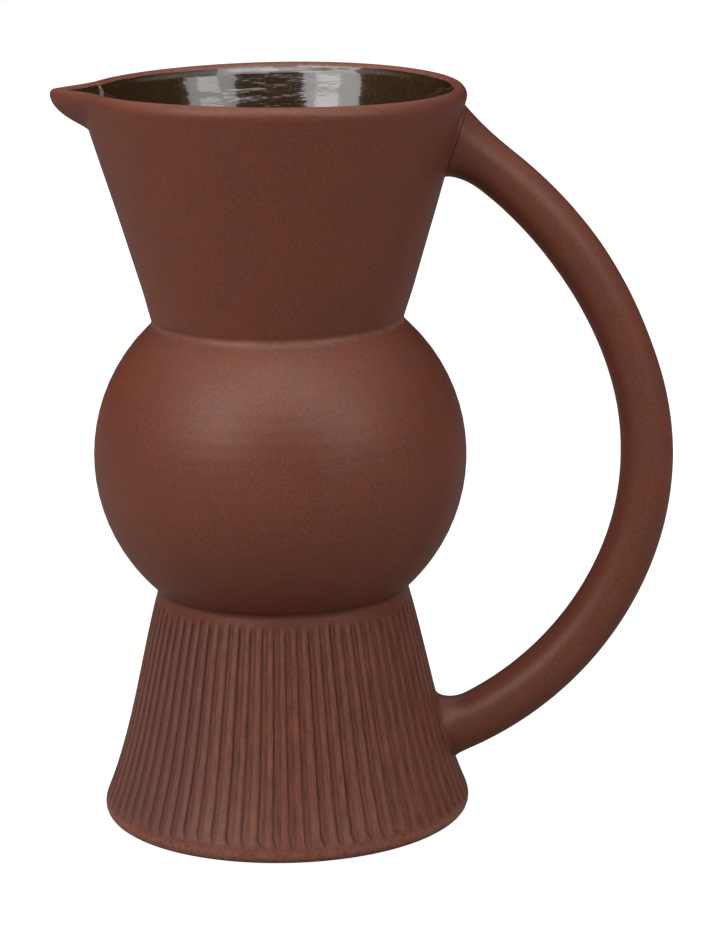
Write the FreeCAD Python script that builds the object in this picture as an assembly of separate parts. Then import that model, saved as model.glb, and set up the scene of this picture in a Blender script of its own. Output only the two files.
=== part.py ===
"""Ceramic pitcher: a fluted foot, a globe and a funnel neck, luted one on another with slip,
with a beak spout and a bow handle joined to the outside and a coat of glaze inside.

Millimetres, +Z up. The origin is on the vessel's axis, in the plane that the foot stands on.
The handle is towards +X and the spout towards -X.
"""
import FreeCAD, Part

import math
import os

from FreeCAD import Vector

# Joints: two clay pieces lie a slip's thickness apart, and the slip fills the gap and is
# squeezed out into a bead.
SLIP = 0.5
BEAD = 1.3

# Glaze: a thin coat on every inside surface.
GLAZE = 0.5

# Foot: a bell whose outline is a cubic, given by its radii at equal steps down from the top.
FOOT_HEIGHT = 79.15
FOOT_RADII = (42.3, 49.6, 52.4, 64.7)
FOOT_CORNER = 4.6
FOOT_BORE_RADII = (36.3, 42.6, 45.5, 55.0)

# Floor: a slab let into the foot, clear of the surface that the foot stands on.
FLOOR_UNDERSIDE = 2.0
FLOOR_TOP = 8.0

# Flutes: shallow channels down the foot, between two plain bands.
FLUTE_COUNT = 72
FLUTE_TOP = 75.0
FLUTE_BOTTOM = 5.0
FLUTE_DEPTH_TOP = 0.45
FLUTE_DEPTH_BOTTOM = 0.85
FLUTE_RUN_OUT = 2.0
FLUTE_SECTION_HEIGHTS = (60.0, 45.0, 30.0, 16.0)

# Globe: a hollow spheroid, cut flat where the foot and the neck join it.
GLOBE_CENTRE = 124.55
GLOBE_RADIUS = 62.75
GLOBE_HALF_HEIGHT = 61.1
GLOBE_WALL = 5.5
GLOBE_BOTTOM = FOOT_HEIGHT + SLIP
GLOBE_TOP = 169.85
WAIST_BORE = 36.3

# Neck: a straight funnel with a rounded rim.
NECK_BOTTOM = GLOBE_TOP + SLIP
RIM_HEIGHT = 250.0
NECK_RADIUS = 41.9
RIM_RADIUS = 64.9
RIM_ROUND = 3.8
RIM_CREST_RADIUS = 61.6
RIM_EDGE_RADIUS = 59.6
RIM_EDGE_HEIGHT = 248.7
RIM_OUTER_POINT = (63.3, 248.9)
RIM_INNER_POINT = (60.4, 249.65)
NECK_SLOPE = (RIM_RADIUS - NECK_RADIUS) / (RIM_HEIGHT - NECK_BOTTOM)

# Spout: a beak whose level sections are one pointed arch, shrinking as an ellipse does.
BEAK_ROOT = 58.0
BEAK_INSIDE = 50.0
BEAK_LEVEL = 248.0
BEAK_TOP = 249.6
BEAK_LENGTH = 15.4
BEAK_DEPTH = 12.5
BEAK_HALF_WIDTH = 21.0
BEAK_NOSE = 3.4
TROUGH_LENGTH = 9.9
TROUGH_DEPTH = 8.0
TROUGH_HALF_WIDTH = 15.5
TROUGH_NOSE = 1.6
BEAK_SECTIONS = (0.25, 0.5, 0.75, 0.92, 1.0)
BEAK_SPREAD = 1.3
BEAK_JOINT_END = -62.3

# Handle: a round coil of clay bent to three arcs that run into one another.
HANDLE_RADIUS = 8.8
HANDLE_REACH = 123.95
HANDLE_MIDDLE_HEIGHT = 122.3
MIDDLE_ARC = 97.1
UPPER_ARC = 139.8
LOWER_ARC = 107.2
UPPER_JOIN_ANGLE = 16.0
LOWER_JOIN_ANGLE = -23.0
UPPER_END_ANGLE = 63.7
LOWER_END_ANGLE = -74.0
COLLAR_LENGTH = 40.0

# Forms that only cut others run on past them.
RUN_ON = 5.0
WIDE = 200.0

ORIGIN = Vector(0, 0, 0)
UP = Vector(0, 0, 1)


def at(radius, height):
    """A point of an outline drawn in the XZ plane."""
    return Vector(radius, 0, height)


def line(start, end):
    return Part.makeLine(start, end)


def turned(edges):
    """A closed outline, taken once round the vessel's axis."""
    return Part.Face(Part.Wire(edges)).revolve(ORIGIN, UP, 360)


def ring(inner, outer, low, high):
    """A flat ring with upright sides."""
    disc = Part.makeCylinder(outer, high - low, at(0, low))
    return disc.cut(Part.makeCylinder(inner, high - low, at(0, low)))


def between(shape, low, high):
    """What a shape has between two levels."""
    return shape.common(Part.makeCylinder(WIDE, high - low, at(0, low)))


def cubic(radii, top, bottom):
    """The edge down a bell's outline, with its control points at equal steps of height."""
    step = (top - bottom) / 3
    curve = Part.BezierCurve()
    curve.setPoles([at(radius, top - i * step) for i, radius in enumerate(radii)])
    return curve.toShape()


def foot_radius(height):
    """The foot's outer radius at a height."""
    s = 1 - height / FOOT_HEIGHT
    a, b, c, d = FOOT_RADII
    return a * (1 - s) ** 3 + 3 * b * s * (1 - s) ** 2 + 3 * c * s**2 * (1 - s) + d * s**3


def foot_form(grow=0.0):
    """The solid bell of the foot, with its outline moved out by grow."""
    radii = [radius + grow for radius in FOOT_RADII]
    edges = [
        line(at(0, 0), at(0, FOOT_HEIGHT)),
        line(at(0, FOOT_HEIGHT), at(radii[0], FOOT_HEIGHT)),
        cubic(radii, FOOT_HEIGHT, 0),
        line(at(radii[3], 0), at(0, 0)),
    ]
    return turned(edges)


def neck_form(grow=0.0):
    """The solid cone of the neck, with its side moved out by grow and both ends running on."""
    bottom = NECK_RADIUS + grow - NECK_SLOPE * RUN_ON
    top = RIM_RADIUS + grow + NECK_SLOPE * RUN_ON
    height = RIM_HEIGHT - NECK_BOTTOM + 2 * RUN_ON
    return Part.makeCone(bottom, top, height, at(0, NECK_BOTTOM - RUN_ON))


def globe_arc(radius, half_height, low, high):
    """The arc up the globe's outline between two heights."""
    ellipse = Part.Ellipse(
        at(radius, GLOBE_CENTRE), at(0, GLOBE_CENTRE + half_height), at(0, GLOBE_CENTRE)
    )
    start = math.asin((low - GLOBE_CENTRE) / half_height)
    end = math.asin((high - GLOBE_CENTRE) / half_height)
    return Part.ArcOfEllipse(ellipse, start, end).toShape()


def bore_heights(radius, half_height, bore):
    """The two heights at which a bore about the axis meets a spheroid."""
    rise = half_height * math.sqrt(1 - (bore / radius) ** 2)
    return GLOBE_CENTRE - rise, GLOBE_CENTRE + rise


def globe_radius(height):
    """The globe's outer radius at a height."""
    return GLOBE_RADIUS * math.sqrt(1 - ((height - GLOBE_CENTRE) / GLOBE_HALF_HEIGHT) ** 2)


def flute_depth(height):
    """How deep the channels are at a height: growing downwards, and run out at both ends."""
    down = (FLUTE_TOP - height) / (FLUTE_TOP - FLUTE_BOTTOM)
    depth = FLUTE_DEPTH_TOP + (FLUTE_DEPTH_BOTTOM - FLUTE_DEPTH_TOP) * down
    from_end = min(FLUTE_TOP - height, height - FLUTE_BOTTOM)
    return depth * min(1.0, from_end / FLUTE_RUN_OUT)


def fluted_section(height):
    """A level outline of the fluted part of the foot: one shallow arc for each channel."""
    crest = foot_radius(height)
    valley = crest - flute_depth(height)
    step = 2 * math.pi / FLUTE_COUNT
    arcs = []
    for i in range(FLUTE_COUNT):
        angles = (i * step, (i + 0.5) * step, (i + 1) * step)
        points = [
            Vector(radius * math.cos(angle), radius * math.sin(angle), height)
            for radius, angle in zip((crest, valley, crest), angles)
        ]
        arcs.append(Part.Arc(*points).toShape())
    return Part.Wire(arcs)


def fluted_band():
    """The part of the foot that carries the channels."""
    heights = [FLUTE_TOP, FLUTE_TOP - FLUTE_RUN_OUT]
    heights += FLUTE_SECTION_HEIGHTS
    heights += [FLUTE_BOTTOM + FLUTE_RUN_OUT, FLUTE_BOTTOM]
    return Part.makeLoft([fluted_section(height) for height in heights], True, True)


def fluted_foot():
    """The bell with its channels, hollow, with a seat for the floor at the bottom."""
    bell = foot_form()
    corner = [e for e in bell.Edges if e.Closed and e.Length > 1 and e.BoundBox.ZMax < 0.01]
    bell = bell.makeFillet(FOOT_CORNER, corner)
    plain_bands = [between(bell, 0, FLUTE_BOTTOM), between(bell, FLUTE_TOP, FOOT_HEIGHT)]
    seat = FOOT_BORE_RADII[3]
    bore = turned(
        [
            line(at(0, -RUN_ON), at(0, FOOT_HEIGHT)),
            line(at(0, FOOT_HEIGHT), at(FOOT_BORE_RADII[0], FOOT_HEIGHT)),
            cubic(FOOT_BORE_RADII, FOOT_HEIGHT, FLOOR_TOP),
            line(at(seat, FLOOR_TOP), at(seat, -RUN_ON)),
            line(at(seat, -RUN_ON), at(0, -RUN_ON)),
        ]
    )
    return fluted_band().fuse(plain_bands).cut(bore)


def base_disc():
    """The floor slab, a slip's thickness clear of its seat in the foot."""
    radius = FOOT_BORE_RADII[3] - SLIP
    return Part.makeCylinder(radius, FLOOR_TOP - FLOOR_UNDERSIDE, at(0, FLOOR_UNDERSIDE))


def globe_body():
    """The hollow globe between its two flat joint faces."""
    inner_radius = GLOBE_RADIUS - GLOBE_WALL
    inner_half = GLOBE_HALF_HEIGHT - GLOBE_WALL
    low, high = bore_heights(inner_radius, inner_half, WAIST_BORE)
    edges = [
        globe_arc(GLOBE_RADIUS, GLOBE_HALF_HEIGHT, GLOBE_BOTTOM, GLOBE_TOP),
        line(at(globe_radius(GLOBE_TOP), GLOBE_TOP), at(WAIST_BORE, GLOBE_TOP)),
        line(at(WAIST_BORE, GLOBE_TOP), at(WAIST_BORE, high)),
        globe_arc(inner_radius, inner_half, low, high),
        line(at(WAIST_BORE, low), at(WAIST_BORE, GLOBE_BOTTOM)),
        line(at(WAIST_BORE, GLOBE_BOTTOM), at(globe_radius(GLOBE_BOTTOM), GLOBE_BOTTOM)),
    ]
    return turned(Part.__sortEdges__(edges))


def neck_wall():
    """The funnel with its rounded rim, before the spout's notch is cut."""
    shoulder = at(RIM_RADIUS - NECK_SLOPE * RIM_ROUND, RIM_HEIGHT - RIM_ROUND)
    crest = at(RIM_CREST_RADIUS, RIM_HEIGHT)
    edge = at(RIM_EDGE_RADIUS, RIM_EDGE_HEIGHT)
    outer_round = Part.Arc(shoulder, at(*RIM_OUTER_POINT), crest)
    inner_round = Part.Arc(crest, at(*RIM_INNER_POINT), edge)
    edges = [
        line(at(NECK_RADIUS, NECK_BOTTOM), shoulder),
        outer_round.toShape(),
        inner_round.toShape(),
        line(edge, at(WAIST_BORE, NECK_BOTTOM)),
        line(at(WAIST_BORE, NECK_BOTTOM), at(NECK_RADIUS, NECK_BOTTOM)),
    ]
    return turned(edges)


def arch_outline(height, scale, length, half_width, nose):
    """One level section of a beak: a pointed arch with a round nose and a square back."""
    width = half_width * scale
    radius = nose * scale
    centre = BEAK_ROOT + length * scale - radius
    towards_root = math.atan2(width, BEAK_ROOT - centre)
    opening = math.acos(radius / math.hypot(centre - BEAK_ROOT, width))
    side = centre + radius * math.cos(towards_root - opening)
    side_y = radius * math.sin(towards_root - opening)
    tip = Vector(-(BEAK_ROOT + length * scale), 0, height)
    near = [
        Vector(-side, -side_y, height),
        Vector(-BEAK_ROOT, -width, height),
        Vector(-BEAK_INSIDE, -width, height),
    ]
    far = [Vector(point.x, -point.y, height) for point in reversed(near)]
    corners = near + far
    edges = [line(a, b) for a, b in zip(corners, corners[1:])]
    edges.append(Part.Arc(far[-1], tip, near[0]).toShape())
    return Part.Wire(edges)


def beak_form(length, depth, half_width, nose, grow=0.0):
    """A solid beak from its keel up past the rim."""
    length = length + grow
    depth = depth + grow
    half_width = half_width + grow * BEAK_SPREAD
    sections = []
    for scale in BEAK_SECTIONS:
        height = BEAK_LEVEL - depth * math.sqrt(1 - scale**2)
        sections.append(arch_outline(height, scale, length, half_width, nose))
    sections.append(arch_outline(RIM_HEIGHT + RUN_ON, 1.0, length, half_width, nose))
    lower = Part.makeLoft(sections[:-1], True, False)
    upper = Part.makeLoft(sections[-2:], True, True)
    return lower.fuse(upper)


def outer_beak(grow=0.0):
    """The solid that the spout is carved from."""
    return beak_form(BEAK_LENGTH, BEAK_DEPTH, BEAK_HALF_WIDTH, BEAK_NOSE, grow)


def trough(inset=0.0):
    """The hollow of the spout, which runs back through the neck's wall."""
    return beak_form(TROUGH_LENGTH, TROUGH_DEPTH, TROUGH_HALF_WIDTH, TROUGH_NOSE, -inset)


def neck_funnel():
    """The funnel with the notch that opens it into the spout."""
    return neck_wall().cut(trough())


def pouring_spout():
    """The beak's shell, seated a slip's thickness off the neck."""
    shell = outer_beak().cut(trough()).cut(neck_form(SLIP))
    return between(shell, 0, BEAK_TOP)


def slip_spout(funnel, spout):
    """The slip between the beak and the neck, a bead wider than the joint."""
    layer = outer_beak(SLIP).common(neck_form(SLIP)).cut(neck_form(-RIM_ROUND))
    layer = between(layer, 0, BEAK_TOP)
    corner = Vector(BEAK_JOINT_END, -WIDE / 2, RIM_HEIGHT - RIM_ROUND)
    past_joint = Part.makeBox(WIDE, WIDE, WIDE, corner)
    return layer.cut([past_joint, trough(), funnel, spout])


def cavity(inset):
    """The space inside the vessel, moved in from the clay by inset."""
    bore = WAIST_BORE - inset
    radius = GLOBE_RADIUS - GLOBE_WALL - inset
    half_height = GLOBE_HALF_HEIGHT - GLOBE_WALL - inset
    floor = FLOOR_TOP + inset
    foot = [value - inset for value in FOOT_BORE_RADII]
    low, high = bore_heights(radius, half_height, bore)
    mouth = RIM_EDGE_RADIUS - inset
    edges = [
        line(at(0, floor), at(foot[3], floor)),
        cubic(foot, FOOT_HEIGHT, floor),
        line(at(bore, FOOT_HEIGHT), at(bore, low)),
        globe_arc(radius, half_height, low, high),
        line(at(bore, high), at(bore, NECK_BOTTOM)),
        line(at(bore, NECK_BOTTOM), at(mouth, RIM_EDGE_HEIGHT)),
        line(at(mouth, RIM_EDGE_HEIGHT), at(0, RIM_EDGE_HEIGHT)),
        line(at(0, RIM_EDGE_HEIGHT), at(0, floor)),
    ]
    return turned(Part.__sortEdges__(edges))


def lined_space(inset):
    """The vessel's hollow together with the spout's, moved in from the clay by inset."""
    return cavity(inset).fuse(between(trough(inset), 0, RIM_EDGE_HEIGHT))


def glaze_lining():
    """The coat of glaze from the floor up to the edge inside the rim and along the spout."""
    return lined_space(0).cut(lined_space(GLAZE))


def arc_centre(point, angle, radius):
    """The centre of an arc that passes a point whose direction from the centre is angle."""
    return Vector(
        point.x - radius * math.cos(math.radians(angle)),
        0,
        point.z - radius * math.sin(math.radians(angle)),
    )


def on_arc(centre, radius, angle):
    return Vector(
        centre.x + radius * math.cos(math.radians(angle)),
        0,
        centre.z + radius * math.sin(math.radians(angle)),
    )


def handle_arcs():
    """The three arcs of the handle's middle line, each as centre, radius, start and end angle."""
    middle = Vector(HANDLE_REACH - MIDDLE_ARC, 0, HANDLE_MIDDLE_HEIGHT)
    upper_join = on_arc(middle, MIDDLE_ARC, UPPER_JOIN_ANGLE)
    lower_join = on_arc(middle, MIDDLE_ARC, LOWER_JOIN_ANGLE)
    upper = arc_centre(upper_join, UPPER_JOIN_ANGLE, UPPER_ARC)
    lower = arc_centre(lower_join, LOWER_JOIN_ANGLE, LOWER_ARC)
    return [
        (lower, LOWER_ARC, LOWER_END_ANGLE, LOWER_JOIN_ANGLE),
        (middle, MIDDLE_ARC, LOWER_JOIN_ANGLE, UPPER_JOIN_ANGLE),
        (upper, UPPER_ARC, UPPER_JOIN_ANGLE, UPPER_END_ANGLE),
    ]


def handle_coil():
    """The bent coil, with both ends running into the walls that it is joined to."""
    path = []
    for centre, radius, start, end in handle_arcs():
        points = [on_arc(centre, radius, angle) for angle in (start, (start + end) / 2, end)]
        path.append(Part.Arc(*points).toShape())
    wire = Part.Wire(path)
    direction = path[0].tangentAt(path[0].FirstParameter)
    section = Part.Wire(Part.makeCircle(HANDLE_RADIUS, path[0].Vertexes[0].Point, direction))
    return wire.makePipeShell([section], True, True)


def handle():
    """The coil trimmed a slip's thickness off the neck and off the foot."""
    return handle_coil().cut([neck_form(SLIP), foot_form(SLIP)])


def collar(arc, angle):
    """A bar along the handle's end, a bead wider than the handle."""
    centre, radius = arc[:2]
    point = on_arc(centre, radius, angle)
    along = Vector(-math.sin(math.radians(angle)), 0, math.cos(math.radians(angle)))
    start = point - along * (COLLAR_LENGTH / 2)
    return Part.makeCylinder(HANDLE_RADIUS + BEAD, COLLAR_LENGTH, start, along)


def handle_slip(arc, angle, form, wall, grip):
    """The slip under one end of the handle: a layer over the wall, squeezed out into a bead."""
    layer = collar(arc, angle).common(form(2 * SLIP)).cut(form(-FLUTE_DEPTH_BOTTOM - SLIP))
    return layer.cut([wall, grip])


def waist_slip(bore, low, high, lower_radius, upper_radius, bead, walls):
    """The slip in a waist: a layer between two flat faces, with a bead in the crease outside."""
    middle = (low + high) / 2
    layer = ring(bore, min(lower_radius, upper_radius), low, high)
    crease = turned(
        [
            line(at(lower_radius - bead, middle), at(lower_radius, middle - bead)),
            line(at(lower_radius, middle - bead), at(lower_radius + bead, middle)),
            line(at(lower_radius + bead, middle), at(lower_radius, middle + bead)),
            line(at(lower_radius, middle + bead), at(lower_radius - bead, middle)),
        ]
    )
    return layer.fuse(crease).cut(walls)


def main():
    """Make every piece and write it to its own file."""
    os.makedirs("parts", exist_ok=True)
    foot = fluted_foot()
    globe = globe_body()
    funnel = neck_funnel()
    spout = pouring_spout()
    grip = handle()
    lower_arc, _, upper_arc = handle_arcs()
    foot_seat = FOOT_BORE_RADII[3]
    pieces = {
        "fluted_foot": foot,
        "base_disc": base_disc(),
        "globe_body": globe,
        "neck_funnel": funnel,
        "pouring_spout": spout,
        "handle": grip,
        "glaze_lining": glaze_lining(),
        "slip_floor_seam": ring(foot_seat - SLIP, foot_seat, FLOOR_UNDERSIDE, FLOOR_TOP),
        "slip_foot_globe": waist_slip(
            WAIST_BORE,
            FOOT_HEIGHT,
            GLOBE_BOTTOM,
            FOOT_RADII[0],
            globe_radius(GLOBE_BOTTOM),
            BEAD,
            [foot, globe],
        ),
        "slip_globe_neck": waist_slip(
            WAIST_BORE,
            GLOBE_TOP,
            NECK_BOTTOM,
            globe_radius(GLOBE_TOP),
            NECK_RADIUS,
            BEAD,
            [globe, funnel],
        ),
        "slip_handle_top": handle_slip(upper_arc, UPPER_END_ANGLE - 3, neck_form, funnel, grip),
        "slip_handle_bottom": handle_slip(lower_arc, LOWER_END_ANGLE + 4, foot_form, foot, grip),
        "slip_spout": slip_spout(funnel, spout),
    }
    for name, shape in pieces.items():
        shape.exportStep(f"parts/{name}.step")


main()
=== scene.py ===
"""Visual model of a ceramic pitcher: fluted foot, globe, funnel neck with a beak, bow handle, glaze.

Sizes are in millimetres up to the point where a mesh is made, and then in metres. The frame is the
CAD frame: the origin on the vessel's axis in the plane it stands on, +Z up, the handle towards +X
and the spout towards -X.
"""
import logging
import math
from dataclasses import dataclass, field
from enum import Enum

import bpy
import numpy as np
from mathutils import Matrix, Vector


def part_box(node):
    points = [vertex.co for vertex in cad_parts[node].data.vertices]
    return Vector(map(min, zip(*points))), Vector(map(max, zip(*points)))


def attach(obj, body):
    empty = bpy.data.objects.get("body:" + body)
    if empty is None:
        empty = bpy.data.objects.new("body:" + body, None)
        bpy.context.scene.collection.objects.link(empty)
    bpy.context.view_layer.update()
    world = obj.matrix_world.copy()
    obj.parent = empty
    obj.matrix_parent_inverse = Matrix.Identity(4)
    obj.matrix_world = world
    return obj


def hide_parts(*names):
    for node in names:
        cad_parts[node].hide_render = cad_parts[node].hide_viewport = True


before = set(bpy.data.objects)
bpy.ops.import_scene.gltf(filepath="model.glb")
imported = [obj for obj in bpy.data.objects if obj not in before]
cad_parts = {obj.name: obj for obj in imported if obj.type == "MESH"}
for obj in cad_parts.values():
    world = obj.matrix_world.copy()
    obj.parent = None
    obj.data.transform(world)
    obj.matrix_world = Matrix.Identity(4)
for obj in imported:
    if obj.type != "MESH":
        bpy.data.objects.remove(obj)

MM = 0.001
SEED = 1907
FULL_TURN = 2.0 * math.pi
QUARTER_TURN = math.pi / 2.0
COLOUR = "NodeSocketColor"
VALUE = "NodeSocketFloat"
log = logging.getLogger("pitcher")


class Slot(Enum):
    """The record's material slots."""

    CLAY = "clay"
    SLIP = "slip"
    GLAZE = "glaze"


STANDS_FOR = {
    "foot_fluted_bell": (Slot.CLAY, "fluted_foot"),
    "floor_slab": (Slot.CLAY, "base_disc"),
    "floor_slip": (Slot.SLIP, "slip_floor_seam"),
    "waist_slip_under_globe": (Slot.SLIP, "slip_foot_globe"),
    "globe": (Slot.CLAY, "globe_body"),
    "waist_slip_over_globe": (Slot.SLIP, "slip_globe_neck"),
    "neck_funnel_wall": (Slot.CLAY, "neck_funnel"),
    "spout_beak": (Slot.CLAY, "pouring_spout"),
    "spout_slip": (Slot.SLIP, "slip_spout"),
    "glaze_coat": (Slot.GLAZE, "glaze_lining"),
    "handle_root_slip": (Slot.SLIP, "slip_handle_bottom"),
    "handle_coil": (Slot.CLAY, "handle"),
    "handle_collar_slip": (Slot.SLIP, "slip_handle_top"),
}


def smooth_step(low: float, high: float, value: np.ndarray) -> np.ndarray:
    """Nought below low, one above high, and an S-shaped rise between for each value."""
    t = np.clip((value - low) / (high - low), 0.0, 1.0)
    return t * t * (3.0 - 2.0 * t)


def smooth_max(a: np.ndarray, b: np.ndarray, reach: float) -> np.ndarray:
    """The larger of two values, rounded over where they are closer than reach."""
    overlap = np.maximum(reach - np.abs(a - b), 0.0)
    return np.maximum(a, b) + overlap**2 / (4.0 * reach)


def cubic(radii: tuple[float, ...], t: np.ndarray) -> np.ndarray:
    """A cubic curve's value from its four control values."""
    a, b, c, d = radii
    return a * (1 - t) ** 3 + 3 * b * t * (1 - t) ** 2 + 3 * c * t**2 * (1 - t) + d * t**3


def runs(*stretches: tuple[float, float, float]) -> np.ndarray:
    """Heights, or other steps, made of stretches that follow one another.

    Args:
        stretches: start, end and greatest step of each stretch.

    Returns:
        The values in order, with no value twice.
    """
    values: list[float] = []
    for start, end, step in stretches:
        count = max(1, math.ceil(abs(end - start) / step))
        values.extend(np.linspace(start, end, count, endpoint=False))
    values.append(stretches[-1][1])
    return np.array(values)


def polar(radius: np.ndarray, angle: np.ndarray, height: np.ndarray) -> np.ndarray:
    """Points from their radius, angle from +X and height."""
    radius, angle, height = np.broadcast_arrays(radius, angle, height)
    return np.stack([radius * np.cos(angle), radius * np.sin(angle), height], axis=-1)


def even_angles(count: int) -> np.ndarray:
    """A row of angles that share a full turn evenly."""
    return np.linspace(0.0, FULL_TURN, count, endpoint=False)[None, :]


@dataclass(frozen=True)
class Beak:
    """A beak whose level sections are one pointed arch, shrinking downwards along a soft curve."""

    root: float
    length: float
    depth: float
    half_width: float
    nose: float
    level: float = 248.0
    fullness: float = 1.8
    taper: float = 0.85
    half_angle: float = 40.0

    def reach(self, angle: np.ndarray, height: np.ndarray) -> np.ndarray:
        """Measures from the axis to the beak's side.

        Args:
            angle: direction from +X, in radians.
            height: level of the section.

        Returns:
            The distances, nought where the beak doesn't reach.
        """
        off = np.abs(np.arctan2(np.sin(angle), -np.cos(angle)))
        drop = np.clip((self.level - height) / self.depth, 0.0, 1.0)
        scale = np.maximum((1.0 - drop**self.fullness) ** self.taper, 1e-3)
        nose = self.nose * scale
        centre = self.root + self.length * scale - nose
        width = self.half_width * scale
        flank = np.hypot(centre - self.root, width)
        lean = np.arctan2(centre - self.root, width) + np.arcsin(np.minimum(nose / flank, 1.0))
        straight = (centre * np.cos(lean) + nose) / np.maximum(np.cos(off - lean), 0.05)
        sides = width / np.maximum(np.sin(off), 1e-3)
        across = np.minimum(centre * np.sin(off), nose)
        curved = centre * np.cos(off) + np.sqrt(nose**2 - across**2)
        tangent = np.arctan2(nose * np.sin(lean), centre + nose * np.cos(lean))
        out = np.where(off < tangent, curved, np.minimum(straight, sides))
        return np.where((off < math.radians(self.half_angle)) & (drop < 1.0), out, 0.0)


@dataclass(frozen=True)
class Outline:
    """Every radius of the vessel, outside and inside, as formulas of the height."""

    foot_height: float
    globe_centre: float
    neck_bottom: float
    rim_height: float
    foot_radii: tuple[float, ...] = (42.3, 49.6, 52.4, 64.7)
    foot_corner: float = 6.2
    bore_radii: tuple[float, ...] = (36.3, 42.6, 45.5, 55.0)
    floor_top: float = 8.0
    globe_radius: float = 62.85
    globe_half_height: float = 61.1
    globe_wall: float = 5.5
    neck_radius: float = 41.9
    rim_radius: float = 64.9
    rim_round: float = 4.2
    rim_crest: float = 0.524
    rim_edge_radius: float = 59.6
    rim_edge_height: float = 248.7
    lower_fillet: float = 1.8
    upper_fillet: float = 2.6
    bore_fillet: float = 1.5
    beak: Beak = Beak(root=58.0, length=15.4, depth=12.5, half_width=21.0, nose=3.4)
    beak_fillet: float = 3.4
    beak_round: float = 1.7
    trough: Beak = Beak(root=58.0, length=12.2, depth=8.5, half_width=16.0, nose=1.6)
    trough_fillet: float = 2.0
    rim_warp: tuple[float, ...] = (-0.5, -0.0075, 0.0048, -1.8e-4, 2.1e-4)
    warp_rise: tuple[float, float] = (185.0, 246.0)
    neck_shift: float = 0.35
    shift_rise: tuple[float, float] = (172.0, 182.0)
    shift_fall: tuple[float, float] = (205.0, 240.0)
    wobble: float = 0.1
    wobble_rise: tuple[float, float] = (10.0, 60.0)

    @classmethod
    def from_frame(cls) -> "Outline":
        """Reads the outline's levels from the CAD pieces.

        Returns:
            The outline.
        """
        foot_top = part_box("fluted_foot")[1].z / MM
        globe_low, globe_high = (corner.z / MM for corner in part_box("globe_body"))
        funnel_low, rim = (corner.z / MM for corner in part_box("neck_funnel"))
        centre = (globe_low + globe_high) / 2.0 - 0.2
        return cls(foot_top, centre, funnel_low, rim)

    @property
    def neck_slope(self) -> float:
        """How fast the neck widens upwards."""
        return (self.rim_radius - self.neck_radius) / (self.rim_height - self.neck_bottom)

    def spheroid(self, height: np.ndarray, inset: float) -> np.ndarray:
        """The globe's radius at a height, moved in by inset."""
        share = (height - self.globe_centre) / (self.globe_half_height - inset)
        return (self.globe_radius - inset) * np.sqrt(np.maximum(1.0 - share**2, 0.0))

    def foot(self, height: np.ndarray) -> np.ndarray:
        """Turns the foot, with its rounded bottom corner.

        Args:
            height: the levels.

        Returns:
            The outer radius at each.
        """
        radius = cubic(self.foot_radii, 1.0 - height / self.foot_height)
        share = np.clip(1.0 - height / self.foot_corner, 0.0, 1.0)
        return radius - self.foot_corner * (1.0 - np.sqrt(1.0 - share**2))

    def neck(self, height: np.ndarray) -> np.ndarray:
        """The neck's outer radius without the beak."""
        return self.neck_radius + self.neck_slope * (height - self.neck_bottom)

    def outer(self, height: np.ndarray) -> np.ndarray:
        """Turns the outside from the foot to the rim, with a fillet in each waist.

        Args:
            height: the levels.

        Returns:
            The radius at each.
        """
        globe = self.spheroid(height, 0.0)
        low = smooth_max(self.foot(height), globe, self.lower_fillet)
        high = smooth_max(self.neck(height), globe, self.upper_fillet)
        return np.where(height < self.globe_centre, low, high)

    def bore(self, height: np.ndarray) -> np.ndarray:
        """Turns the inside from the floor to the edge inside the rim.

        Args:
            height: the levels.

        Returns:
            The radius at each.
        """
        span = self.foot_height - self.floor_top
        t = np.clip((self.foot_height - height) / span, 0.0, 1.0)
        foot = cubic(self.bore_radii, t)
        climb = np.maximum(height - self.neck_bottom, 0.0)
        slope = self.rim_edge_radius - self.bore_radii[0]
        neck = self.bore_radii[0] + climb * slope / (self.rim_edge_height - self.neck_bottom)
        globe = self.spheroid(height, self.globe_wall)
        ends = np.where(height < self.globe_centre, foot, neck)
        return smooth_max(ends, globe, self.bore_fillet)

    def outer_neck(self, angle: np.ndarray, height: np.ndarray) -> np.ndarray:
        """The outside of the neck together with the beak."""
        return smooth_max(self.outer(height), self.beak.reach(angle, height), self.beak_fillet)

    def inner_neck(self, angle: np.ndarray, height: np.ndarray) -> np.ndarray:
        """The inside of the neck together with the trough of the beak."""
        return smooth_max(self.bore(height), self.trough.reach(angle, height), self.trough_fillet)

    def settle(self, points: np.ndarray) -> np.ndarray:
        """Gives points the unevenness of a thrown pot: a warped rim, a neck a little aside, an oval.

        Args:
            points: points of the true outline.

        Returns:
            The same points, moved.
        """
        x, y, z = np.moveaxis(points, -1, 0)
        oval = np.sin(2.0 * np.arctan2(y, x) + 0.035 * z + 0.6)
        swell = self.wobble * smooth_step(*self.wobble_rise, z) * oval
        radius = np.hypot(x, y)
        grow = 1.0 + swell / np.maximum(radius, 20.0)
        level, along, across, bow, twist = self.rim_warp
        warp = level + along * x + across * y + bow * x**2 + twist * x * y
        lift = warp * smooth_step(*self.warp_rise, z)
        aside = smooth_step(*self.shift_rise, z) * (1.0 - smooth_step(*self.shift_fall, z))
        aside = self.neck_shift * aside
        return np.stack([x * grow + aside, y * grow, z + lift], axis=-1)


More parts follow.
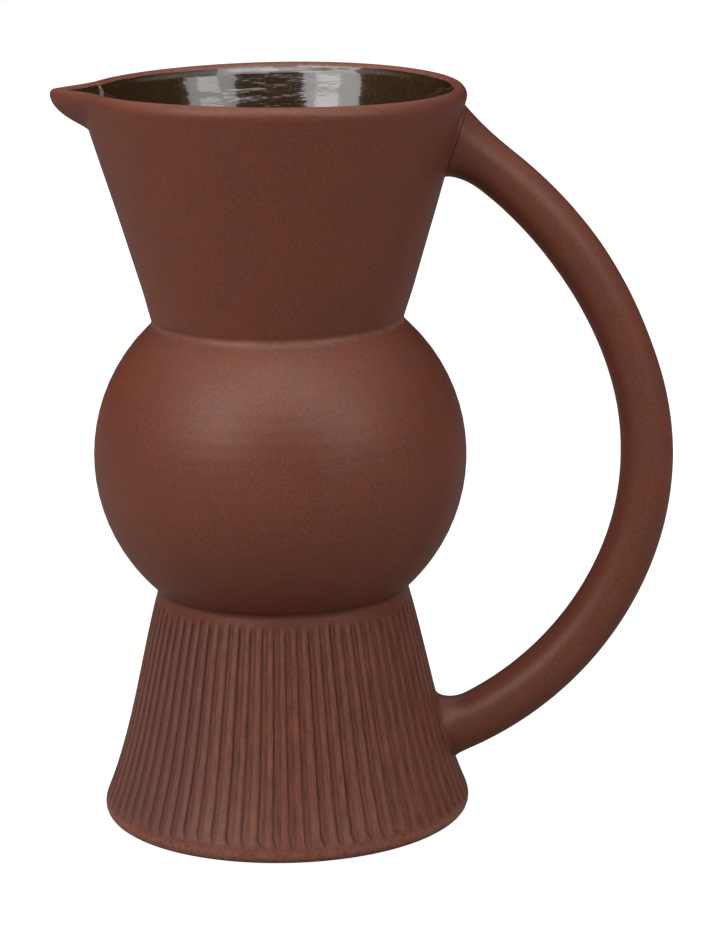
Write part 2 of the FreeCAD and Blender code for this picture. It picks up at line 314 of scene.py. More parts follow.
@dataclass
class Skin:
    """A wall as two grids of points, rows by columns, that close round a middle line.

    Seen from the front the columns run anticlockwise for rows that go up. The shades are named
    values from nought to one for each point of the front, which the finishes read.
    """

    front: np.ndarray
    back: np.ndarray
    shades: dict[str, np.ndarray] = field(default_factory=dict)

    def numbers(self) -> np.ndarray:
        """The number of each point of the front."""
        rows, columns = self.front.shape[:2]
        return np.arange(rows * columns).reshape(rows, columns)

    def normals(self) -> np.ndarray:
        """Works out the front's normals.

        Returns:
            The normal at each of its points.
        """
        along = np.roll(self.front, -1, axis=1) - np.roll(self.front, 1, axis=1)
        up = np.gradient(self.front, axis=0)
        cross = np.cross(along, up)
        length = np.linalg.norm(cross, axis=-1, keepdims=True)
        return cross / np.maximum(length, 1e-9)

    def cells(self, rows: slice = slice(None)) -> np.ndarray:
        """Chooses whole rows of cells.

        Args:
            rows: the rows.

        Returns:
            True for each chosen cell.
        """
        chosen = np.zeros((self.front.shape[0] - 1, self.front.shape[1]), bool)
        chosen[rows] = True
        return chosen

    def rod(self, chosen: np.ndarray) -> tuple[np.ndarray, list[np.ndarray]]:
        """Closes a stretch of the front with a disc at each end, as a solid rod.

        Args:
            chosen: True for each cell of the stretch.

        Returns:
            The points, and the faces in blocks.
        """
        index = self.numbers()
        ahead = np.roll(index, -1, axis=1)
        points = np.concatenate([self.front.reshape(-1, 3), self.back[:, 0]])
        used = np.flatnonzero(chosen[:, 0])
        first, last = used[0], used[-1] + 1
        low_middle, high_middle = (np.full(index.shape[1], index.size + end) for end in (first, last))
        return points, [
            np.stack([index[:-1], ahead[:-1], ahead[1:], index[1:]], -1)[chosen],
            np.stack([low_middle, ahead[first], index[first]], -1),
            np.stack([high_middle, index[last], ahead[last]], -1),
        ]

    def wall(self, chosen: np.ndarray, lid: int | None) -> tuple[np.ndarray, list[np.ndarray]]:
        """Joins the front to the back round the edge of the chosen cells.

        Args:
            chosen: True for each cell that belongs to the wall.
            lid: the end row, 0 or -1, whose small ring is closed flat in front and behind.

        Returns:
            The points, and the faces in blocks.
        """
        index = self.numbers()
        ahead = np.roll(index, -1, axis=1)
        low, low_next, high, high_next = index[:-1], ahead[:-1], index[1:], ahead[1:]
        behind = index.size
        no_row = np.zeros((1, chosen.shape[1]), bool)
        open_low = chosen & ~np.vstack([no_row, chosen[:-1]])
        open_high = chosen & ~np.vstack([chosen[1:], no_row])
        open_left = chosen & ~np.roll(chosen, 1, axis=1)
        open_right = chosen & ~np.roll(chosen, -1, axis=1)
        lids = []
        if lid is not None:
            (open_low if lid == 0 else open_high)[lid] = False
            ring = index[lid][::-1] if lid == 0 else index[lid]
            lids = [ring[None], behind + ring[None, ::-1]]
        faces = [
            np.stack([low, low_next, high_next, high], -1)[chosen],
            behind + np.stack([low, high, high_next, low_next], -1)[chosen],
        ]
        for edge, a, b in (
            (open_low, low, low_next),
            (open_high, high_next, high),
            (open_left, high, low),
            (open_right, low_next, high_next),
        ):
            faces.append(np.stack([a, behind + a, behind + b, b], -1)[edge])
        points = np.concatenate([self.front.reshape(-1, 3), self.back.reshape(-1, 3)])
        return points, faces + lids

    def piece(
        self, name: str, chosen: np.ndarray, capped: bool = False, lid: int | None = None
    ) -> bpy.types.Object:
        """Makes the closed piece behind the chosen cells.

        Args:
            name: the piece's name.
            chosen: True for each cell that belongs to the piece.
            capped: closes both end rows with a disc instead of with the back grid's edge.
            lid: the end row, 0 or -1, whose small ring is closed flat in front and behind.

        Returns:
            The piece, not yet dressed.
        """
        points, faces = self.rod(chosen) if capped else self.wall(chosen, lid)
        polygons = [row for block in faces for row in block.tolist()]
        used = np.unique(np.concatenate([np.array(face) for face in polygons]))
        renumber = np.full(len(points), -1)
        renumber[used] = np.arange(len(used))
        kept = [[int(renumber[i]) for i in face] for face in polygons]
        mesh = bpy.data.meshes.new(name)
        mesh.from_pydata((points[used] * MM).tolist(), [], kept)
        self.soften(mesh, used, len(points))
        piece = bpy.data.objects.new(name, mesh)
        bpy.context.scene.collection.objects.link(piece)
        return piece

    def soften(self, mesh: bpy.types.Mesh, used: np.ndarray, count: int) -> None:
        """Gives a mesh the front's smooth normals and its shades.

        Args:
            mesh: the mesh.
            used: the numbers of the points that it kept.
            count: how many points there were, front and back.
        """
        fronts = self.numbers().size
        normals = np.zeros((count, 3))
        normals[:fronts] = self.normals().reshape(-1, 3)
        mesh.shade_smooth()
        mesh.normals_split_custom_set_from_vertices(normals[used].tolist())
        for shade, values in self.shades.items():
            whole = np.zeros(count, np.float32)
            whole[:fronts] = values.reshape(-1)
            attribute = mesh.attributes.new(shade, "FLOAT", "POINT")
            attribute.data.foreach_set("value", whole[used])


@dataclass
class SubAssembly:
    """A part of the pitcher that makes its own pieces and dresses them."""

    outline: Outline

    def build(self) -> list[bpy.types.Object]:
        """Makes the pieces, bare."""
        raise NotImplementedError

    def make(self, materials: dict[Slot, bpy.types.Material]) -> list[bpy.types.Object]:
        """Makes the pieces, gives each its finish, hangs it under the root body and hides the CAD node
        it stands for.

        Args:
            materials: the finish of each material slot.

        Returns:
            The dressed pieces.
        """
        pieces = self.build()
        for piece in pieces:
            slot, node = STANDS_FOR[piece.name]
            piece.data.materials.append(materials[slot])
            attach(piece, "root")
            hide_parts(node)
        return pieces


@dataclass
class Flutes:
    """Channels cut down the foot with a square tool held a little askew.

    Across each channel run a narrow notch, a floor that rises towards the far side, a faint second
    line and the ridge up to the next channel. Pairs of sizes are those at the top and the bottom.
    """

    count: int = 72
    top: float = 76.2
    bottom: float = 5.0
    width: tuple[float, float] = (2.2, 2.7)
    notch: tuple[float, float] = (0.62, 0.46)
    floor_near: tuple[float, float] = (0.42, 0.17)
    floor_far: tuple[float, float] = (0.36, 0.07)
    second_line: tuple[float, float] = (0.13, 0.09)
    crown: float = 0.04
    placing: tuple[float, float, float] = (0.09, 0.06, 2.0)
    sway_height: float = 11.0
    unlikeness: tuple[float, float] = (0.07, 0.12)
    end_spread: tuple[float, float] = (0.55, 0.45)
    top_run_out: float = 3.2
    bottom_run_out: float = 1.3
    curl: float = 0.55
    curl_towards: float = 0.8
    darkness: float = 0.75
    # painted shade in each column across a channel, and painted highlight on its lip and on the ridge
    shadow: tuple[float, ...] = (0.35, 0.8, 1.0, 0.9, 0.45, 0.3, 0.45, 0.8, 0.5, 0.1, 0.0, 0.0)
    wear: tuple[float, ...] = (0.5, 0.0, 0.0, 0.0, 0.0, 0.0, 0.0, 0.0, 0.1, 0.7, 1.0, 0.9)

    def across(self, width: np.ndarray, pitch: np.ndarray) -> np.ndarray:
        """Lays the columns across one channel and its ridge.

        Args:
            width: the channel's width.
            pitch: the distance from one channel to the next.

        Returns:
            Places of the columns from the notch's edge.
        """
        ridge = pitch - width
        places = [0.0 * width, 0.14, 0.28, 0.5, 0.74, 0.5 * width + 0.2, width - 0.46]
        places += [width - 0.27, width - 0.11, width, width + ridge / 3.0, width + ridge / 1.5]
        return np.stack(np.broadcast_arrays(*places), -1)

    def depths(self, down: np.ndarray) -> np.ndarray:
        """Gives each of those columns its depth.

        Args:
            down: heights, as a share of the way down the channels.

        Returns:
            The depths, with the columns along the last axis.
        """
        notch, near, far, second = (
            a + (b - a) * down
            for a, b in (self.notch, self.floor_near, self.floor_far, self.second_line)
        )
        none = 0.0 * down
        places = [none, 0.6 * notch, notch, 0.95 * notch, near, (near + far) / 2.0, far]
        places += [far + second, 0.5 * far, none, none - self.crown, none - self.crown]
        return np.stack(places, -1)

    def carve(self, heights: np.ndarray, radii: np.ndarray) -> tuple[np.ndarray, ...]:
        """Lays the columns along the channels.

        Args:
            heights: level of each row.
            radii: the plain foot's radius in each row.

        Returns:
            Angle, depth, painted channel shade and painted ridge highlight of each point, rows by
            columns.
        """
        rng = np.random.default_rng(SEED)
        each = np.arange(self.count)
        shift, sway, phase = rng.normal(0.0, self.placing, (self.count, 3)).T
        broad, deep = 1.0 + rng.normal(0.0, self.unlikeness, (self.count, 2)).T
        start, stop = rng.normal((self.top, self.bottom), self.end_spread, (self.count, 2)).T
        level = heights[:, None]
        down = np.clip((self.top - level) / (self.top - self.bottom), 0.0, 1.0)
        width = (self.width[0] + (self.width[1] - self.width[0]) * down) * broad
        pitch = FULL_TURN * radii[:, None] / self.count + 0.0 * each
        fade = smooth_step(0.0, self.top_run_out, start - level)
        fade = fade * smooth_step(0.0, self.bottom_run_out, level - stop)
        curl = self.curl * (1.0 - smooth_step(0.0, self.top_run_out, level - stop))[..., None]
        places = self.across(width, pitch)
        channel = places < width[..., None] + 1e-6
        curled = places + curl * (self.curl_towards * width[..., None] - places)
        places = np.where(channel, curled, places)
        wander = shift + sway * np.sin(level / self.sway_height + phase)
        arc = each * pitch + wander + places.transpose(2, 0, 1)
        depth = self.depths(down)[:, 0, None, :] * (fade * deep)[..., None]
        angle = arc.transpose(1, 2, 0) / radii[:, None, None]
        # painted shade down the channels and painted highlight along the ridges, fading out with them
        crease_shade = self.darkness * np.array(self.shadow) * fade[..., None] * np.ones_like(depth)
        ridge = np.array(self.wear) * fade[..., None] * np.ones_like(depth)
        rows = len(heights)
        return tuple(block.reshape(rows, -1) for block in (angle, depth, crease_shade, ridge))


@dataclass
class FlutedFoot(SubAssembly):
    """The foot's bell with its channels."""

    flutes: Flutes = field(default_factory=Flutes)
    seat_edge: float = 0.6
    seat_depth: float = 2.0
    chamfer: float = 0.5
    top: float = 77.9
    bands: tuple[float, float] = (9.0, 73.0)
    row_steps: tuple[float, float, float] = (0.55, 2.3, 0.5)
    corner_rows: int = 8
    under_rows: int = 4
    # painted highlight on the plain band at the bottom and on the ridges
    band_highlight: float = 0.95
    ridge_highlight: float = 0.3
    # a greyer, more purple tone on the left front of the fluted zone
    greyer_side_at: float = -144.0
    greyer_side_spread: float = 0.55

    def levels(self) -> np.ndarray:
        """Spaces the rows up the side, from the rounded corner to the waist.

        Returns:
            The heights.
        """
        corner = self.outline.foot_corner
        bend = np.linspace(0.0, QUARTER_TURN, self.corner_rows + 1)[1:-1]
        low, high = self.bands
        near, middle, far = self.row_steps
        side = runs((corner, low, near), (low, high, middle), (high, self.top, far))
        return np.concatenate([corner * (1.0 - np.cos(bend)), side])

    def underside(self, angle: np.ndarray) -> np.ndarray:
        """Makes the ring that the pitcher stands on, from the seat of the floor slab outwards.

        Args:
            angle: the columns' angles.

        Returns:
            The rows of points.
        """
        seat = self.outline.bore_radii[3]
        edge = self.outline.foot(np.zeros(1))[0]
        radii = np.array([seat, seat + self.chamfer, (seat + edge) / 2.0, edge])
        heights = np.array([self.seat_edge, 0.0, 0.0, 0.0])
        return polar(radii[:, None], angle, heights[:, None])

    def inside(self, angle: np.ndarray) -> np.ndarray:
        """Makes the back of the wall: the seat of the slab and the bore over it.

        Args:
            angle: the angle of each point of the front.

        Returns:
            The points, one for each of the front.
        """
        shape = self.outline
        turned = self.under_rows + self.corner_rows
        levels = np.interp(np.arange(len(angle)), [0, turned], [self.seat_depth, shape.floor_top])
        levels[turned:] = np.linspace(shape.floor_top, self.top, len(angle) - turned)
        radii = np.where(levels < shape.floor_top, shape.bore_radii[3], shape.bore(levels))
        return polar(radii[:, None], angle, levels[:, None])

    def shades(self, front: np.ndarray, crease_shade: np.ndarray, ridge: np.ndarray) -> dict:
        """Works out the foot's painted shade and highlights, where the tool combed it, and its greyer
        side.

        Args:
            front: the points.
            crease_shade: depth of shade in the channels.
            ridge: one on the ridges between them, where a highlight is painted.

        Returns:
            The shade of each point by name.
        """
        height = front[..., 2]
        # painted highlight: the plain band near the bottom is drawn paler, as if lit
        band = self.band_highlight * (1.0 - smooth_step(3.0, 6.5, height)) * smooth_step(0.2, 1.2, height)
        combed = smooth_step(5.0, 8.0, height) * (1.0 - smooth_step(72.5, 76.0, height))
        # a greyer, more purple tone on the left front of the fluted zone, fading upwards
        away = np.arctan2(front[..., 1], front[..., 0]) - math.radians(self.greyer_side_at)
        near = np.exp(-((away / self.greyer_side_spread) ** 2))
        return {
            "crease_shade": crease_shade,
            # painted highlight on the plain band and on the ridges
            "wear_and_highlight": np.maximum(band, self.ridge_highlight * ridge),
            "combed": combed,
            "greyer_side": combed * near * (1.0 - 0.5 * height / self.outline.foot_height),
        }

    def build(self) -> list[bpy.types.Object]:
        """Makes the foot.

        Returns:
            The foot alone.
        """
        shape = self.outline
        heights = self.levels()
        radii = shape.outer(heights)
        angle, depth, crease_shade, ridge = self.flutes.carve(heights, radii)
        side = polar(radii[:, None] - depth, angle, heights[:, None])
        front = np.concatenate([self.underside(angle[:1]), side])
        back = self.inside(np.vstack([angle[:1]] * self.under_rows + [angle]))
        blank = np.zeros((self.under_rows, angle.shape[1]))
        crease_shade, ridge = (np.concatenate([blank, shade]) for shade in (crease_shade, ridge))
        shades = self.shades(front, crease_shade, ridge)
        skin = Skin(shape.settle(front), shape.settle(back), shades)
        return [skin.piece("foot_fluted_bell", skin.cells())]


@dataclass
class RoundBody(SubAssembly):
    """The globe with the ring of slip in the waist under it and over it."""

    bottom: float = 77.9
    lower_ring_top: float = 81.6
    upper_ring_bottom: float = 167.6
    top: float = 172.6
    row_steps: tuple[float, float, float] = (0.2, 1.3, 0.25)
    ripple: float = 0.035
    ripple_height: float = 0.74
    smooth_below: tuple[float, float] = (84.0, 96.0)
    columns: int = 360

    def shades(self, level: np.ndarray, angle: np.ndarray) -> dict:
        """Paints shade under the globe in the lower waist and a highlight along the upper waist.

        Args:
            level: height of each row.
            angle: the columns' angles.

        Returns:
            The shade of each point by name.
        """
        low_seam = self.outline.foot_height + 0.3
        # painted shadow under the globe in the lower waist, and a painted highlight where the neck
        # meets the globe
        dark = np.exp(-(((level - low_seam - 0.5) / 1.1) ** 2))
        pale = np.exp(-(((level - self.outline.neck_bottom - 0.4) / 1.0) ** 2))
        spread = np.ones_like(angle)
        return {"crease_shade": 0.75 * dark * spread, "wear_and_highlight": 0.55 * pale * spread}

    def build(self) -> list[bpy.types.Object]:
        """Makes the lower ring, the globe and the upper ring.

        Returns:
            The three, from the bottom up.
        """
        shape = self.outline
        near, middle, far = self.row_steps
        heights = runs(
            (self.bottom, self.lower_ring_top, near),
            (self.lower_ring_top, self.upper_ring_bottom, middle),
            (self.upper_ring_bottom, self.top, far),
        )
        angle = even_angles(self.columns)
        level = heights[:, None]
        rings = np.sin(level / self.ripple_height + 0.4 * np.sin(angle))
        ripple = self.ripple * rings * smooth_step(*self.smooth_below, level)
        front = polar(shape.outer(level) + ripple, angle, level)
        back = polar(shape.bore(level), angle, level)
        skin = Skin(shape.settle(front), shape.settle(back), self.shades(level, angle))
        first = int(np.searchsorted(heights, self.lower_ring_top - 0.01))
        second = int(np.searchsorted(heights, self.upper_ring_bottom - 0.01))
        return [
            skin.piece("waist_slip_under_globe", skin.cells(slice(0, first))),
            skin.piece("globe", skin.cells(slice(first, second))),
            skin.piece("waist_slip_over_globe", skin.cells(slice(second, None))),
        ]


def neck_angles() -> np.ndarray:
    """Angles of the neck's columns: close together round the spout and wider elsewhere."""
    degrees = runs(
        (-145.0, 145.0, 1.6), (145.0, 160.0, 0.8), (160.0, 200.0, 0.4), (200.0, 215.0, 0.8)
    )
    return np.radians(degrees[:-1])[None, :]


@dataclass
class FunnelNeck(SubAssembly):
    """The neck up to the edge inside its rim, with the beak and the slip that joins it."""

    bottom: float = 172.6
    fine_from: float = 232.0
    side_top: float = 243.6
    row_steps: tuple[float, float] = (2.0, 0.34)
    shoulder_rows: int = 7
    turn_rows: int = 9
    fall_rows: int = 6
    lip_drop: float = 1.6
    lip_wall: float = 0.4
    beak_start: float = 233.0
    beak_half_angle: float = 19.0
    # painted highlight on the rim's crest and inner edge, and painted shade where the beak leaves the
    # neck
    crest_highlight: float = 0.25
    edge_highlight: float = 0.75
    joint_shade: float = 0.5

    def side(self, angle: np.ndarray, start: np.ndarray) -> np.ndarray:
        """Lays the rows up the side.

        Args:
            angle: the columns' angles.
            start: height at which the rim's rounding starts in each column.

        Returns:
            The height of each point.
        """
        coarse, fine = self.row_steps
        low = (self.bottom, self.fine_from, coarse)
        steady = runs(low, (self.fine_from, self.side_top, fine))[:, None]
        climb = np.linspace(0.0, 1.0, self.shoulder_rows + 1)[1:, None]
        shoulder = steady[-1] + climb * (start - steady[-1])
        return np.concatenate([steady * np.ones_like(angle), shoulder])

    def rim(
        self, angle: np.ndarray, start: np.ndarray, flat: np.ndarray
    ) -> tuple[np.ndarray, np.ndarray]:
        """Rounds the rim from the side over its crest to the edge inside.

        Args:
            angle: the columns' angles.
            start: height at which the rounding starts in each column.
            flat: nought where the side leans out as it meets the rim, one along the beak.

        Returns:
            The points and how far across the wall each row is.
        """
        shape = self.outline
        wide = shape.outer_neck(angle, start)
        edge = shape.inner_neck(angle, shape.rim_edge_height + 0.0 * angle)
        top = shape.rim_height + 0.0 * angle
        turn = np.linspace(0.0, QUARTER_TURN, self.turn_rows + 1)[1:, None]
        fall = np.linspace(0.0, QUARTER_TURN, self.fall_rows + 1)[1:, None]
        crest = shape.rim_crest
        across = np.concatenate([crest * (1.0 - np.cos(turn)), crest + (1.0 - crest) * np.sin(fall)])
        drop = (top - shape.rim_edge_height) * (1.0 - np.cos(fall))
        level = np.concatenate([start + (top - start) * np.sin(turn), top - drop])
        rise = np.clip((level - start) / (top - start), 0.0, 1.0)
        rise[len(turn) :] = 1.0
        lean = shape.neck_slope * (1.0 - flat) * (level - start) * (1.0 - rise) ** 1.5
        return polar(wide + lean - (wide - edge) * across, angle, level), across[:, 0]

    def back(self, angle: np.ndarray, side: np.ndarray, start: np.ndarray, rows: int) -> np.ndarray:
        """Makes the wall's back, which follows the trough and stops under the rim.

        Args:
            angle: the columns' angles.
            side: height of each point of the side.
            start: height at which the rim's rounding starts in each column.
            rows: number of rows behind the rim.

        Returns:
            The points.
        """
        shape = self.outline
        reach = shape.rim_edge_height - self.lip_drop - self.lip_wall - start
        under = start + reach * np.linspace(0.1, 1.0, rows)[:, None]
        return np.concatenate(
            [
                polar(shape.inner_neck(angle, side) + 0.1, angle, side),
                polar(shape.inner_neck(angle, under) + self.lip_wall, angle, under),
            ]
        )

    def shades(self, gap: np.ndarray, across: np.ndarray) -> dict:
        """Paints a highlight on the rim's crest and inner edge, and shade where the beak leaves the
        neck.

        Args:
            gap: how far the beak stands out of the neck, at each point of the side.
            across: how far across the wall each row of the rim is.

        Returns:
            The shade of each point by name.
        """
        plain = np.zeros(len(gap))
        spread = np.ones((1, gap.shape[1]))
        # painted highlight on the rim's crest and a brighter painted line along its inner edge
        inner_line = np.concatenate([plain, across > 0.9, [1.0]])
        crest = np.concatenate([plain, np.sin(across * math.pi), [0.0]])
        wear_and_highlight = self.crest_highlight * crest[:, None] * spread + self.edge_highlight * inner_line[:, None] * spread
        # painted shade in the hollow where the beak leaves the neck
        crease_shade = np.zeros_like(wear_and_highlight)
        crease_shade[: len(gap)] = self.joint_shade * np.exp(-((gap / 1.5) ** 2)) * (gap > -20.0)
        return {"crease_shade": crease_shade, "wear_and_highlight": wear_and_highlight}

    def build(self) -> list[bpy.types.Object]:
        """Makes the funnel, the beak and the beak's slip.

        Returns:
            The three pieces.
        """
        shape = self.outline
        angle = neck_angles()
        stick_out = shape.beak.reach(angle, shape.beak.level) - shape.neck(shape.beak.level)
        flat = smooth_step(0.0, 6.0, stick_out)
        start = shape.rim_height - shape.rim_round + (shape.rim_round - shape.beak_round) * flat
        side = self.side(angle, start)
        rim, across = self.rim(angle, start, flat)
        lip = shape.rim_edge_height - self.lip_drop
        inner_lip = polar(shape.inner_neck(angle, lip + 0.0 * angle), angle, lip)
        front = np.concatenate([polar(shape.outer_neck(angle, side), angle, side), rim, inner_lip])
        back = self.back(angle, side, start, len(across) + 1)
        gap = shape.beak.reach(angle, side) - shape.outer(side)
        skin = Skin(shape.settle(front), shape.settle(back), self.shades(gap, across))
        off = np.abs(np.arctan2(np.sin(angle), -np.cos(angle)))
        near = (off < math.radians(self.beak_half_angle)) & (front[:-1, :, 2] > self.beak_start)
        over = np.concatenate([gap, np.repeat(gap[-1:], len(across), axis=0)])
        slip = near & (np.abs(over) < shape.beak_fillet)
        beak = near & ~slip & (over > 0.0)
        return [
            skin.piece("neck_funnel_wall", ~(slip | beak)),
            skin.piece("spout_beak", beak),
            skin.piece("spout_slip", slip),
        ]


@dataclass
class GlazeCoat(SubAssembly):
    """The coat of glaze inside, with a rolled edge under the rim and a puddled floor."""

    thickness: float = 0.5
    cover: float = 0.35
    behind: float = 0.3
    corner: float = 3.0
    centre_hole: float = 0.4
    edge_waves: tuple[int, ...] = (3, 5, 8, 13, 21)
    run_depth: float = 0.10
    swirl_depth: float = 0.12

    def begin(self, angle: np.ndarray) -> np.ndarray:
        """The wavy line at which the coat begins, under the rim's edge.

        Args:
            angle: the columns' angles.

        Returns:
            The height of the line in each column.
        """
        rng = np.random.default_rng(SEED + 1)
        waves = sum(
            rng.uniform(0.05, 0.16) * np.sin(n * angle + rng.uniform(0.0, 6.3))
            for n in self.edge_waves
        )
        return self.outline.rim_edge_height + self.cover * (0.2 + 0.8 * waves)

    def build(self) -> list[bpy.types.Object]:
        """Makes the coat.

        Returns:
            The coat alone.
        """
        shape = self.outline
        angle = neck_angles()
        floor = shape.floor_top + self.thickness
        down = runs((0.0, 3.0, 0.25), (3.0, 24.0, 0.7), (24.0, 240.0, 2.4))[:, None]
        down = down[down[:, 0] < shape.rim_edge_height - floor - self.corner]
        level = self.begin(angle) - down
        coat = self.thickness * smooth_step(-0.25, 2.4, down) + 0.02
        runs_down = self.run_depth * np.sin(level / 2.1 + 1.5 * np.sin(2.0 * angle))
        ripple = runs_down * smooth_step(2.0, 8.0, down) * np.sin(3.0 * angle + level / 17.0)
        wall = shape.inner_neck(angle, level)
        front = [polar(wall - coat + ripple, angle, level)]
        back = [polar(wall + self.behind, angle, level - 0.1)]
        turn = np.linspace(0.0, QUARTER_TURN, 7)[1:, None]
        bottom = level[-1:]
        last = wall[-1:] - coat[-1:]
        bend = bottom - floor
        front.append(polar(last - bend * (1.0 - np.cos(turn)), angle, bottom - bend * np.sin(turn)))
        under = bottom - (bend + self.behind) * np.sin(turn)
        back.append(polar(wall[-1:] + self.behind - 0.6 * turn, angle, under))
        inward = np.linspace(0.0, 1.0, 14)[1:, None]
        ring = np.min(last) - np.max(bend)
        flat = ring * (1.0 - inward) + self.centre_hole * inward
        swirl = self.swirl_depth * np.cos(flat / 2.3) * np.sin(inward * math.pi)
        front.append(polar(flat, angle, floor + swirl * np.ones_like(angle)))
        back.append(polar(flat, angle, floor - self.behind))
        skin = Skin(shape.settle(np.concatenate(front)), shape.settle(np.concatenate(back)))
        return [skin.piece("glaze_coat", skin.cells(), lid=-1)]


@dataclass
class FloorSlab(SubAssembly):
    """The slab that closes the foot, cut off its bat with a wire, and the slip round it."""

    underside: float = 2.0
    joint: float = 0.5
    edge_round: float = 0.7
    centre_hole: float = 0.4
    wire_pull: tuple[float, float] = (-90.0, 34.0)
    wire_marks: tuple[tuple[float, float], ...] = ((0.07, 0.62), (0.05, 1.9))
    mark_edge: tuple[float, float] = (4.0, 1.0)
    bead_rows: int = 7
    columns: int = 192

    def slab(self, angle: np.ndarray, rim: float) -> Skin:
        """Makes the slab with the curved marks of the wire under it.

        Args:
            angle: the columns' angles.
            rim: the slab's radius.

        Returns:
            The slab's skin.
        """
        shape = self.outline
        radii = np.linspace(self.centre_hole, rim - self.edge_round, 66)
        radii = np.concatenate([radii, [rim - 0.2, rim, rim]])[:, None]
        along, across = self.wire_pull
        pull = np.hypot(radii * np.cos(angle) - along, radii * np.sin(angle) - across)
        marks = sum(depth * np.sin(pull / length) for depth, length in self.wire_marks)
        outer, inner = self.mark_edge
        marked = 1.0 - smooth_step(rim - outer, rim - inner, radii)
        level = self.underside + marks * marked
        level[-3:] = self.underside + np.array([[0.0], [0.25], [self.edge_round]])
        level[-1] = shape.floor_top - 0.05
        front = polar(radii, angle, level)
        back = polar(np.minimum(radii, rim - 0.3), angle, shape.floor_top - 0.05)
        wear_and_highlight = 0.3 * marked * np.ones_like(angle)
        return Skin(front, back, {"crease_shade": np.zeros_like(level), "wear_and_highlight": wear_and_highlight})

    def bead(self, angle: np.ndarray, rim: float) -> Skin:
        """Makes the ring of slip between the slab and the foot.

        Args:
            angle: the columns' angles.
            rim: the slab's radius.

        Returns:
            The ring's skin.
        """
        share = np.linspace(0.0, 1.0, self.bead_rows)[:, None]
        radius = rim - 0.5 + share * (self.joint + 0.8)
        level = self.underside + 0.15 - 0.75 * np.sin(share * QUARTER_TURN) * share
        level = level * np.ones_like(angle)
        front = polar(radius, angle, level)
        back = polar(rim + share * self.joint, angle, 5.0)
        # painted shade in the recessed ring of slip under the foot
        return Skin(front, back, {"crease_shade": np.full_like(level, 0.5)})

    def build(self) -> list[bpy.types.Object]:
        """Makes the slab and the ring of slip.

        Returns:
            The two pieces.
        """
        angle = even_angles(self.columns)
        rim = self.outline.bore_radii[3] - self.joint
        slab = self.slab(angle, rim)
        ring = self.bead(angle, rim)
        return [slab.piece("floor_slab", slab.cells(), lid=0), ring.piece("floor_slip", ring.cells())]


